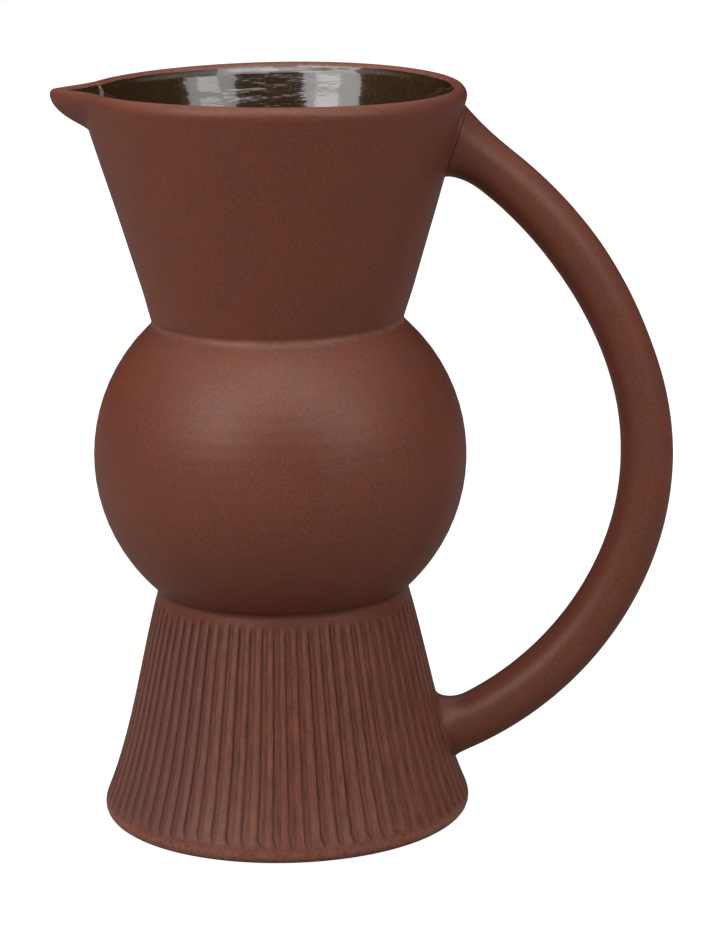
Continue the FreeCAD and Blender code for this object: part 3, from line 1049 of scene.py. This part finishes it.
@dataclass
class BowHandle(SubAssembly):
    """The round coil of the handle, with its collar at the neck and its root on the foot.

    Places along the coil are given in degrees of its arcs, and places round it in radians from the
    bow's outer side. A flare is its height at the wall and its length, outside and inside.
    """

    reach: float
    middle_height: float = 122.3
    middle_arc: float = 97.1
    upper_arc: float = 139.8
    lower_arc: float = 107.2
    upper_join: float = 16.0
    lower_join: float = -23.0
    upper_end: float = 66.0
    lower_end: float = -84.0
    girths: tuple[tuple[float, float], ...] = (
        (-40.0, 9.05),
        (0.0, 8.9),
        (12.0, 8.6),
        (21.0, 8.4),
        (35.0, 8.7),
        (48.0, 8.5),
    )
    root_flare: tuple[tuple[float, float], ...] = ((0.6, 6.0), (4.0, 10.5))
    neck_flare: tuple[tuple[float, float], ...] = ((4.1, 22.0), (3.3, 14.5))
    flare_power: float = 2.4
    corner_fill: float = 0.9
    buried: float = -1.6
    near_wall: float = 2.6
    far_wall: float = 22.0
    groove_at: float = 1.2
    groove_tilt: float = 0.7
    groove_depth: float = 0.36
    root_groove_depth: float = 0.1
    smudge_depth: float = 0.12
    bead_height: float = 0.55
    luting_height: float = 0.7
    root_width: float = 1.2
    body_rows: int = 108
    columns: int = 96

    @classmethod
    def from_frame(cls, outline: Outline) -> "BowHandle":
        """The handle with its reach read from the CAD coil."""
        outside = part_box("handle")[1].x / MM
        return cls(outline, outside - 8.8)

    def line(self, share: np.ndarray) -> tuple[np.ndarray, np.ndarray]:
        """Follows the middle line.

        Args:
            share: places along the line.

        Returns:
            The points and the outward normals, both in the XZ plane.
        """
        middle = np.array([self.reach - self.middle_arc, self.middle_height])
        radians = np.radians(share)
        outward = np.stack([np.cos(radians), np.sin(radians)], -1)
        high, low = math.radians(self.upper_join), math.radians(self.lower_join)
        high_way = np.array([math.cos(high), math.sin(high)])
        low_way = np.array([math.cos(low), math.sin(low)])
        upper = middle + (self.middle_arc - self.upper_arc) * high_way
        lower = middle + (self.middle_arc - self.lower_arc) * low_way
        is_high = (share > self.upper_join)[..., None]
        is_low = (share < self.lower_join)[..., None]
        centre = np.where(is_high, upper, np.where(is_low, lower, middle))
        radius = np.where(is_high, self.upper_arc, np.where(is_low, self.lower_arc, self.middle_arc))
        return centre + radius * outward, outward

    def surface(self, share: np.ndarray, around: np.ndarray, radius: np.ndarray) -> np.ndarray:
        """Finds points of the coil.

        Args:
            share: places along it.
            around: places round it.
            radius: half its thickness there.

        Returns:
            The points.
        """
        middle, outward = self.line(share)
        out = radius * np.cos(around)
        x = middle[..., 0] + out * outward[..., 0]
        z = middle[..., 1] + out * outward[..., 1]
        return np.stack(np.broadcast_arrays(x, radius * np.sin(around), z), -1)

    def clearance(self, points: np.ndarray, upper: bool) -> np.ndarray:
        """Measures how far points are from the wall that an end of the handle meets.

        Args:
            points: the points.
            upper: True for the neck's wall and False for the foot's.

        Returns:
            The distances, below nought inside the wall.
        """
        radius = np.hypot(points[..., 0], points[..., 1])
        height = points[..., 2]
        if upper:
            return (radius - self.outline.neck(height)) / math.hypot(1.0, self.outline.neck_slope)
        return (radius - self.outline.foot(np.maximum(height, 5.0))) / 1.05

    def girth(self, share: np.ndarray) -> np.ndarray:
        """Half the coil's thickness, a little uneven as a rolled coil is."""
        places, radii = zip(*self.girths)
        return np.interp(share, places, radii)

    def flare(self, gap: np.ndarray, around: np.ndarray, rises: tuple) -> np.ndarray:
        """Widens the coil near the wall it meets.

        Args:
            gap: distance from the wall.
            around: places round the coil.
            rises: the outer and the inner flare.

        Returns:
            The extra radius.
        """
        (outer, outer_length), (inner, inner_length) = rises
        side = 0.5 + 0.5 * np.cos(around)
        outer_rise = outer * np.clip(1.0 - gap / outer_length, 0.0, 1.0) ** self.flare_power
        inner_rise = inner * np.clip(1.0 - gap / inner_length, 0.0, 1.0) ** self.flare_power
        corner = self.corner_fill * np.exp(-np.maximum(gap, 0.0) / 0.6)
        return side**1.5 * outer_rise + (1.0 - side) ** 1.5 * (inner_rise + corner)

    def meet(
        self, gap: np.ndarray, around: np.ndarray, radius: np.ndarray, upper: bool
    ) -> np.ndarray:
        """Searches, by halving, for the places along the coil where its side is gap from the wall.

        Args:
            gap: distance from the wall.
            around: places round the coil.
            radius: half the coil's thickness there.
            upper: True for the neck's wall and False for the foot's.

        Returns:
            The places along the coil.
        """
        far = self.upper_end + 12.0 if upper else self.lower_end - 12.0
        near = 30.0 if upper else -35.0
        shape = np.broadcast_shapes(gap.shape, around.shape, radius.shape)
        inside, outside = np.full(shape, far), np.full(shape, near)
        for _ in range(34):
            half = (inside + outside) / 2.0
            clear = self.clearance(self.surface(half, around, radius), upper) > gap
            outside = np.where(clear, half, outside)
            inside = np.where(clear, inside, half)
        return (inside + outside) / 2.0

    def root(self, gaps: np.ndarray, around: np.ndarray, score: np.ndarray) -> tuple:
        """Shapes the end on the foot, with a thumb's smudge on its underside.

        Args:
            gaps: distance of each row from the wall.
            around: places round the coil.
            score: one in the line scored round the joint.

        Returns:
            The coil's radius and the depth of painted shade in its scored line and smudge.
        """
        smudge = np.exp(-(((around - 4.95) / 0.32) ** 2) - ((gaps - 1.6) / 1.5) ** 2)
        radius = self.girth(self.lower_end) + self.flare(gaps, around, self.root_flare)
        radius = radius - self.root_groove_depth * score - self.smudge_depth * smudge
        # painted shade in the scored line and in the smudge
        return radius, np.maximum(0.3 * score, 0.55 * smudge)

    def collar(self, gaps: np.ndarray, around: np.ndarray, score: np.ndarray) -> tuple:
        """Shapes the end at the neck, with its scored line and a bead of slip squeezed out of it.

        Args:
            gaps: distance of each row from the wall.
            around: places round the coil.
            score: one in the line scored round the joint.

        Returns:
            The coil's radius and the painted highlight on its bead.
        """
        bead = np.exp(-(((around - 5.35) / 0.24) ** 2) - ((gaps - 0.9) / 0.5) ** 2)
        radius = self.girth(self.upper_end) + self.flare(gaps, around, self.neck_flare)
        luting = self.luting_height * np.abs(np.sin(around)) * np.exp(-np.maximum(gaps, 0.0) / 0.6)
        radius = radius + luting - self.groove_depth * score + self.bead_height * bead
        # painted highlight on the bead of slip
        return radius, 0.5 * bead

    def build(self) -> list[bpy.types.Object]:
        """Makes the root on the foot, the coil and the collar at the neck.

        Returns:
            The three, from the foot up.
        """
        around = even_angles(self.columns)
        close = (self.buried, self.near_wall, 0.15)
        gaps = runs(close, (self.near_wall, self.far_wall, 0.6))[:, None]
        scored_at = self.groove_at + self.groove_tilt * np.cos(around)
        score = np.exp(-(((gaps - scored_at) / 0.3) ** 2)) * np.abs(np.sin(around))
        root_radius, root_shade = self.root(gaps, around, score)
        root = self.meet(gaps, around, root_radius, upper=False)
        collar_radius, collar_highlight = (rows[::-1] for rows in self.collar(gaps, around, score))
        top = self.meet(gaps[::-1], around, collar_radius, upper=True)
        share = np.linspace(0.0, 1.0, self.body_rows + 2)[1:-1, None]
        body = root[-1:] + (top[:1] - root[-1:]) * share
        places = np.concatenate([root, body, top])
        radius = np.concatenate([root_radius, self.girth(body), collar_radius])
        front = self.surface(places, around, radius)
        middle, _ = self.line(np.mean(places, axis=1))
        centre = np.stack([middle[:, 0], 0.0 * middle[:, 0], middle[:, 1]], -1)
        back = np.repeat(centre[:, None, :], self.columns, axis=1)
        plain = np.zeros_like(body)
        # painted shade at the root and in the collar's scored line; painted highlight on the collar's
        # bead
        crease_shade = np.concatenate([root_shade, plain, score[::-1]])
        wear_and_highlight = np.concatenate([np.zeros_like(root_shade), plain, collar_highlight])
        skin = Skin(front, back, {"crease_shade": crease_shade, "wear_and_highlight": wear_and_highlight})
        groove = len(places) - int(np.searchsorted(gaps[:, 0], self.groove_at))
        root_rows = int(np.searchsorted(gaps[:, 0], self.root_width))
        return [
            skin.piece("handle_root_slip", skin.cells(slice(0, root_rows)), capped=True),
            skin.piece("handle_coil", skin.cells(slice(root_rows, groove)), capped=True),
            skin.piece("handle_collar_slip", skin.cells(slice(groove, None)), capped=True),
        ]


class Nodes:
    """A node tree being laid out, with short calls for the nodes that every finish uses."""

    def __init__(self, tree: bpy.types.NodeTree) -> None:
        """Starts on a tree."""
        self.tree = tree

    def add(self, kind: str, **inputs: object) -> bpy.types.Node:
        """Adds a node.

        Args:
            kind: the node's type.
            inputs: values or sockets for its inputs, with spaces written as underscores.

        Returns:
            The node.
        """
        node = self.tree.nodes.new(kind)
        for name, value in inputs.items():
            self.put(node, name.replace("_", " "), value)
        return node

    def put(self, node: bpy.types.Node, name: str | int, value: object) -> None:
        """Sets an input, or links it when the value is a socket.

        Args:
            node: the node.
            name: the input's name or number.
            value: a value or a socket.
        """
        if isinstance(value, bpy.types.NodeSocket):
            self.tree.links.new(value, node.inputs[name])
        else:
            node.inputs[name].default_value = value

    def math(self, operation: str, a: object, b: object = 0.0) -> bpy.types.NodeSocket:
        """Adds a math node.

        Args:
            operation: what it does with the two values.
            a: the first value or socket.
            b: the second value or socket.

        Returns:
            The socket of the result.
        """
        node = self.add("ShaderNodeMath")
        node.operation = operation
        self.put(node, 0, a)
        self.put(node, 1, b)
        return node.outputs[0]

    def noise(self, where: object, scale: float, detail: float, rough: float) -> bpy.types.NodeSocket:
        """Adds cloudy noise.

        Args:
            where: the place.
            scale: how many clouds to the metre.
            detail: how many finer layers.
            rough: how strong the finer layers are.

        Returns:
            The socket of the value.
        """
        node = self.add("ShaderNodeTexNoise", Vector=where, Scale=scale, Detail=detail)
        self.put(node, "Roughness", rough)
        return node.outputs["Fac"]

    def ramp(self, value: object, low: float, high: float) -> bpy.types.NodeSocket:
        """Adds a smooth rise, nought below low and one above high.

        Args:
            value: what it reads.
            low: where the rise starts.
            high: where it ends.

        Returns:
            The socket of the result.
        """
        node = self.add("ShaderNodeMapRange", Value=value, From_Min=low, From_Max=high)
        node.interpolation_type = "SMOOTHSTEP"
        return node.outputs[0]

    def span(
        self, value: object, ends: tuple[float, float], onto: tuple[float, float]
    ) -> bpy.types.NodeSocket:
        """Adds a straight rise.

        Args:
            value: what it reads.
            ends: the values at which the rise starts and ends.
            onto: what it gives there.

        Returns:
            The socket of the result.
        """
        node = self.add("ShaderNodeMapRange", Value=value, From_Min=ends[0], From_Max=ends[1])
        self.put(node, "To Min", onto[0])
        self.put(node, "To Max", onto[1])
        return node.outputs[0]

    def mix(self, share: object, a: object, b: object, blend: str = "MIX") -> bpy.types.NodeSocket:
        """Adds a mix of two colours.

        Args:
            share: how much of the second one.
            a: the first colour.
            b: the second colour.
            blend: how they are mixed.

        Returns:
            The socket of the colour.
        """
        node = self.add("ShaderNodeMix")
        node.data_type = "RGBA"
        node.blend_type = blend
        self.put(node, 0, share)
        self.put(node, 6, a)
        self.put(node, 7, b)
        return node.outputs[2]

    def shade(self, name: str) -> bpy.types.NodeSocket:
        """Reads a shade that the meshes carry.

        Args:
            name: the shade's name.

        Returns:
            The socket of its value.
        """
        node = self.add("ShaderNodeAttribute")
        node.attribute_name = name
        return node.outputs["Fac"]


def new_group(name: str, inputs: dict, outputs: dict) -> tuple[bpy.types.NodeTree, Nodes]:
    """Starts a shader node group.

    Args:
        name: the group's name.
        inputs: socket type and starting value of each named input.
        outputs: socket type of each named output.

    Returns:
        The group and its node layer.
    """
    tree = bpy.data.node_groups.new(name, "ShaderNodeTree")
    for title, (kind, value) in inputs.items():
        socket = tree.interface.new_socket(name=title, in_out="INPUT", socket_type=kind)
        socket.default_value = value
    for title, kind in outputs.items():
        tree.interface.new_socket(name=title, in_out="OUTPUT", socket_type=kind)
    return tree, Nodes(tree)


def mottled_clay(nodes: Nodes, given: object, where: object, grain: object) -> object:
    """Mottles the clay: warm clouds, cool patches and fine grain.

    Args:
        nodes: the group's node layer.
        given: the group's inputs.
        where: the place on the object.
        grain: the fine grain's value.

    Returns:
        The socket of the mottled colour.
    """
    clouds = nodes.ramp(nodes.noise(where, 34.0, 4.0, 0.6), 0.4, 0.64)
    patches = nodes.ramp(nodes.noise(where, 95.0, 5.0, 0.65), 0.46, 0.68)
    colour = nodes.mix(nodes.math("MULTIPLY", clouds, 0.7), given["Body"], given["Warm"])
    colour = nodes.mix(nodes.math("MULTIPLY", patches, 0.5), colour, given["Cool"])
    tone = nodes.span(grain, (0.38, 0.62), (0.8, 1.2))
    return nodes.mix(1.0, colour, tone, "MULTIPLY")


def tool_streaks(nodes: Nodes, where: object) -> object:
    """Draws streaks down the vessel, as a toothed tool leaves them.

    Args:
        nodes: the group's node layer.
        where: the place on the object.

    Returns:
        The socket of the streaks' value.
    """
    place = nodes.add("ShaderNodeSeparateXYZ", Vector=where)
    turn = nodes.math("ARCTAN2", place.outputs["Y"], place.outputs["X"])
    along = nodes.add("ShaderNodeCombineXYZ", X=nodes.math("MULTIPLY", turn, 0.06))
    nodes.put(along, "Y", nodes.math("MULTIPLY", place.outputs["Z"], 0.07))
    return nodes.noise(along.outputs[0], 1500.0, 3.0, 0.65)


def pale_specks(nodes: Nodes, where: object) -> object:
    """Scatters small grains of grog, one in about a tenth of the cells of a fine net.

    Args:
        nodes: the group's node layer.
        where: the place on the object.

    Returns:
        The socket of a mask, one on the specks.
    """
    cells = nodes.add("ShaderNodeTexVoronoi", Vector=where, Scale=520.0)
    near = nodes.math("LESS_THAN", cells.outputs["Distance"], 0.15)
    split = nodes.add("ShaderNodeSeparateColor", Color=cells.outputs["Color"])
    some = nodes.math("GREATER_THAN", split.outputs[0], 0.9)
    return nodes.math("MULTIPLY", near, some)


def clay_grain_group() -> bpy.types.NodeTree:
    """Builds bare clay: clouds, grain, specks, tool streaks, a greyer side, rubbing, painted highlights
    and shade.

    Returns:
        The group, which puts out colour, roughness and height.
    """
    tree, nodes = new_group(
        "clay_grain",
        {
            "Body": (COLOUR, (0.124, 0.035, 0.0205, 1.0)),
            "Warm": (COLOUR, (0.139, 0.038, 0.0195, 1.0)),
            "Cool": (COLOUR, (0.112, 0.036, 0.0265, 1.0)),
            # a greyer, more purple tone for one side of the foot
            "Greyer Side": (COLOUR, (0.1, 0.046, 0.044, 1.0)),
            # the paler colour serves rubbed places and painted highlights, the darkest one painted
            # shade in creases
            "Wear And Highlight": (COLOUR, (0.26, 0.105, 0.075, 1.0)),
            "Crease Shade": (COLOUR, (0.045, 0.01, 0.006, 1.0)),
            "Speck": (COLOUR, (0.2, 0.09, 0.062, 1.0)),
            "Roughness": (VALUE, 0.42),
        },
        {"Color": COLOUR, "Roughness": VALUE, "Height": VALUE},
    )
    given = nodes.add("NodeGroupInput").outputs
    where = nodes.add("ShaderNodeTexCoord").outputs["Object"]
    grain = nodes.noise(where, 1500.0, 3.0, 0.75)
    coarse = nodes.noise(where, 620.0, 3.0, 0.65)
    colour = mottled_clay(nodes, given, where, grain)
    streaks = tool_streaks(nodes, where)
    speck = pale_specks(nodes, where)
    combed = nodes.shade("combed")
    drawn = nodes.span(streaks, (0.36, 0.64), (0.6, 1.34))
    colour = nodes.mix(combed, colour, nodes.mix(1.0, colour, drawn, "MULTIPLY"))
    # greyer tone on one side of the foot
    colour = nodes.mix(nodes.math("MULTIPLY", nodes.shade("greyer_side"), 0.8), colour, given["Greyer Side"])
    colour = nodes.mix(nodes.math("MULTIPLY", speck, 0.45), colour, given["Speck"])
    # paler colour for rubbed places and for painted highlights on rims, ridges, bands and beads
    wear_and_highlight = nodes.math("MULTIPLY", nodes.shade("wear_and_highlight"), nodes.ramp(coarse, 0.25, 0.62))
    colour = nodes.mix(nodes.math("MULTIPLY", wear_and_highlight, 0.75), colour, given["Wear And Highlight"])
    # painted shade in creases, grooves and under the globe
    crease_shade = nodes.math("MULTIPLY", nodes.shade("crease_shade"), 0.7)
    colour = nodes.mix(crease_shade, colour, given["Crease Shade"])
    rough = nodes.math("ADD", given["Roughness"], nodes.math("MULTIPLY", coarse, 0.16))
    rough = nodes.math("SUBTRACT", rough, nodes.math("MULTIPLY", wear_and_highlight, 0.1))
    height = nodes.math("ADD", grain, nodes.math("MULTIPLY", coarse, 0.8))
    height = nodes.math("ADD", height, nodes.math("MULTIPLY", speck, 0.5))
    grooves = nodes.math("MULTIPLY", combed, nodes.math("MULTIPLY", streaks, 2.5))
    height = nodes.math("ADD", height, grooves)
    nodes.add("NodeGroupOutput", Color=colour, Roughness=rough, Height=height)
    return tree


def new_material(name: str) -> tuple[bpy.types.Material, Nodes, bpy.types.Node]:
    """Starts a material.

    Args:
        name: the material's name.

    Returns:
        The material, its node layer and its shader, which is linked to the output.
    """
    material = bpy.data.materials.new(name)
    material.use_nodes = True
    material.node_tree.nodes.clear()
    nodes = Nodes(material.node_tree)
    shader = nodes.add("ShaderNodeBsdfPrincipled")
    output = nodes.add("ShaderNodeOutputMaterial")
    nodes.put(output, "Surface", shader.outputs[0])
    return material, nodes, shader


@dataclass(frozen=True)
class BareClay:
    """Unglazed fired stoneware, with a finely grained satin surface."""

    name: str = "bare_stoneware"
    body: tuple[float, float, float] = (0.124, 0.035, 0.0205)
    gleam: tuple[float, float, float] = (1.0, 0.83, 0.73)
    roughness: float = 0.34
    bump: float = 0.34

    def material(self, grain: bpy.types.NodeTree) -> bpy.types.Material:
        """Makes the material.

        Args:
            grain: the shared clay group.

        Returns:
            The material.
        """
        material, nodes, shader = new_material(self.name)
        group = nodes.add("ShaderNodeGroup")
        group.node_tree = grain
        nodes.put(group, "Body", (*self.body, 1.0))
        nodes.put(group, "Roughness", self.roughness)
        nodes.put(shader, "Base Color", group.outputs["Color"])
        nodes.put(shader, "Roughness", group.outputs["Roughness"])
        shader.inputs["Specular IOR Level"].default_value = 0.5
        shader.inputs["Specular Tint"].default_value = (*self.gleam, 1.0)
        bump = nodes.add("ShaderNodeBump", Height=group.outputs["Height"], Distance=0.12 * MM)
        nodes.put(bump, "Strength", self.bump)
        nodes.put(shader, "Normal", bump.outputs[0])
        return material


@dataclass(frozen=True)
class DarkGlaze:
    """Glossy near-black brown glaze with fine olive specks."""

    name: str = "dark_glaze"
    base: tuple[float, float, float] = (0.032, 0.017, 0.008)
    fleck: tuple[float, float, float] = (0.1, 0.062, 0.024)
    roughness: float = 0.14
    glass_ior: float = 1.6
    coat_ior: float = 1.7
    coat_roughness: float = 0.05
    wave_strength: float = 0.3

    def material(self) -> bpy.types.Material:
        """Makes the material.

        Returns:
            The material.
        """
        material, nodes, shader = new_material(self.name)
        where = nodes.add("ShaderNodeTexCoord").outputs["Object"]
        fine = nodes.ramp(nodes.noise(where, 900.0, 4.0, 0.7), 0.5, 0.72)
        clouds = nodes.ramp(nodes.noise(where, 60.0, 4.0, 0.6), 0.35, 0.7)
        spread = nodes.math("ADD", nodes.math("MULTIPLY", clouds, 0.6), 0.15)
        share = nodes.math("MULTIPLY", fine, spread)
        colour = nodes.mix(share, (*self.base, 1.0), (*self.fleck, 1.0))
        nodes.put(shader, "Base Color", colour)
        rough = nodes.math("ADD", nodes.math("MULTIPLY", fine, 0.12), self.roughness)
        nodes.put(shader, "Roughness", rough)
        shader.inputs["IOR"].default_value = self.glass_ior
        shader.inputs["Coat Weight"].default_value = 1.0
        shader.inputs["Coat IOR"].default_value = self.coat_ior
        shader.inputs["Coat Roughness"].default_value = self.coat_roughness
        stretch = nodes.add("ShaderNodeMapping", Vector=where)
        stretch.inputs["Scale"].default_value = (1.0, 1.0, 5.0)
        slow = nodes.noise(stretch.outputs[0], 95.0, 2.0, 0.5)
        pits = nodes.noise(where, 700.0, 2.0, 0.5)
        height = nodes.math("ADD", slow, nodes.math("MULTIPLY", pits, 0.06))
        bump = nodes.add("ShaderNodeBump", Height=height, Distance=0.5 * MM)
        nodes.put(bump, "Strength", self.wave_strength)
        nodes.put(shader, "Normal", bump.outputs[0])
        nodes.put(shader, "Coat Normal", bump.outputs[0])
        return material


@dataclass
class Studio:
    """Plain pale floor, even backdrop and large soft panels of light.

    Each panel stands round the pitcher: degrees from the front towards the handle, degrees up,
    watts, width and height.
    """

    floor_size: float = 6.0
    distance: float = 1.35
    middle: tuple[float, float, float] = (0.02, 0.0, 0.13)
    panels: tuple[tuple[float, ...], ...] = (
        (-45.0, 33.0, 5.6, 0.9, 0.9),
        (-41.0, 24.0, 0.8, 0.36, 0.4),
        (45.0, 28.0, 2.4, 0.8, 0.6),
        (46.0, 24.0, 0.6, 0.36, 0.4),
        (-20.0, 50.0, 1.2, 0.7, 0.7),
        (20.0, 50.0, 2.3, 0.7, 0.7),
        (0.0, 70.0, 2.2, 0.9, 0.7),
        (-75.0, 20.0, 4.6, 0.7, 0.7),
        (-75.0, 50.0, 1.6, 0.7, 0.7),
        (80.0, 25.0, 2.0, 0.7, 0.7),
    )
    ambient: float = 0.66
    floor_colour: tuple[float, float, float] = (0.22, 0.19, 0.175)
    floor_glow: float = 0.96
    glossy_within: float = 60.0

    def build(self) -> None:
        """Makes the floor, the panels and the surroundings."""
        self._floor()
        for number, panel in enumerate(self.panels):
            self._panel(f"panel_{number}", *panel)
        self._world()
        bpy.context.scene.view_settings.view_transform = "Standard"

    def _floor(self) -> None:
        """Lays a wide level sheet under the pitcher, which the camera sees as white."""
        half = self.floor_size / 2.0
        corners = [(-half, -half, 0.0), (half, -half, 0.0), (half, half, 0.0), (-half, half, 0.0)]
        mesh = bpy.data.meshes.new("floor")
        mesh.from_pydata(corners, [], [(0, 1, 2, 3)])
        floor = bpy.data.objects.new("floor", mesh)
        bpy.context.scene.collection.objects.link(floor)
        material, nodes, shader = new_material("pale_floor")
        shader.inputs["Base Color"].default_value = (*self.floor_colour, 1.0)
        shader.inputs["Roughness"].default_value = 0.9
        shader.inputs["Emission Color"].default_value = (1.0, 1.0, 1.0, 1.0)
        seen = nodes.add("ShaderNodeLightPath").outputs["Is Camera Ray"]
        nodes.put(shader, "Emission Strength", nodes.math("MULTIPLY", seen, self.floor_glow))
        mesh.materials.append(material)

    def _panel(
        self, name: str, turn: float, climb: float, watts: float, width: float, height: float
    ) -> None:
        """Hangs a soft rectangular panel that faces the pitcher's middle.

        Args:
            name: the panel's name.
            turn: degrees from the front towards the handle.
            climb: degrees up.
            watts: its power.
            width: its width.
            height: its height.
        """
        data = bpy.data.lights.new(name, "AREA")
        data.shape = "RECTANGLE"
        data.size = width
        data.size_y = height
        data.energy = watts
        turn = math.radians(turn)
        climb = math.radians(climb)
        away = Vector(
            (math.sin(turn) * math.cos(climb), -math.cos(turn) * math.cos(climb), math.sin(climb))
        )
        panel = bpy.data.objects.new(name, data)
        panel.location = Vector(self.middle) + self.distance * away
        panel.rotation_euler = (-away).to_track_quat("-Z", "Y").to_euler()
        panel.visible_glossy = abs(turn) < math.radians(self.glossy_within)
        bpy.context.scene.collection.objects.link(panel)

    def _world(self) -> None:
        """Surrounds the pitcher with white for the camera and with dimmer light for the rest."""
        world = bpy.data.worlds.new("surroundings")
        world.use_nodes = True
        world.node_tree.nodes.clear()
        nodes = Nodes(world.node_tree)
        path = nodes.add("ShaderNodeLightPath").outputs
        background = nodes.add("ShaderNodeBackground")
        background.inputs["Color"].default_value = (1.0, 0.99, 0.98, 1.0)
        aim = nodes.add("ShaderNodeTexCoord").outputs["Generated"]
        up = nodes.add("ShaderNodeSeparateXYZ", Vector=aim).outputs["Z"]
        gleam = nodes.math("MULTIPLY", path["Is Glossy Ray"], nodes.ramp(up, 0.45, 0.8))
        lit = nodes.math("ADD", path["Is Diffuse Ray"], gleam)
        strength = nodes.math("ADD", path["Is Camera Ray"], nodes.math("MULTIPLY", lit, self.ambient))
        nodes.put(background, "Strength", strength)
        output = nodes.add("ShaderNodeOutputWorld")
        nodes.put(output, "Surface", background.outputs[0])
        bpy.context.scene.world = world


@dataclass(frozen=True)
class ViewPoint:
    """The camera: a long lens a little above the rim, looking slightly down."""

    place: tuple[float, float, float] = (0.0, -1.0965, 0.37805)
    yaw: float = 0.0244
    pitch: float = 0.2308
    roll: float = -0.0149
    lens: float = 129.3

    def build(self) -> None:
        """Makes the scene's camera."""
        level_ahead = Vector((math.sin(self.yaw), math.cos(self.yaw), 0.0))
        forward = math.cos(self.pitch) * level_ahead - Vector((0.0, 0.0, math.sin(self.pitch)))
        level_right = Vector((math.cos(self.yaw), -math.sin(self.yaw), 0.0))
        level_up = level_right.cross(forward)
        right = math.cos(self.roll) * level_right + math.sin(self.roll) * level_up
        up = -math.sin(self.roll) * level_right + math.cos(self.roll) * level_up
        data = bpy.data.cameras.new("view")
        data.lens = self.lens
        data.clip_end = 20.0
        camera = bpy.data.objects.new("view", data)
        turn = Matrix((right, up, -forward)).transposed()
        camera.matrix_world = Matrix.Translation(self.place) @ turn.to_4x4()
        bpy.context.scene.collection.objects.link(camera)
        bpy.context.scene.camera = camera


def main() -> None:
    """Builds the pitcher piece by piece, then the studio and the camera."""
    logging.basicConfig(level=logging.INFO, format="%(name)s: %(message)s")
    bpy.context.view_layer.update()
    grain = clay_grain_group()
    materials = {
        Slot.CLAY: BareClay().material(grain),
        Slot.SLIP: BareClay("sponged_slip", (0.116, 0.034, 0.0205), roughness=0.38).material(grain),
        Slot.GLAZE: DarkGlaze().material(),
    }
    outline = Outline.from_frame()
    parts = (
        FlutedFoot(outline),
        FloorSlab(outline),
        RoundBody(outline),
        FunnelNeck(outline),
        GlazeCoat(outline),
        BowHandle.from_frame(outline),
    )
    for part in parts:
        for piece in part.make(materials):
            log.info("%s: %d faces", piece.name, len(piece.data.polygons))
    Studio().build()
    ViewPoint().build()


if __name__ == "__main__":
    main()
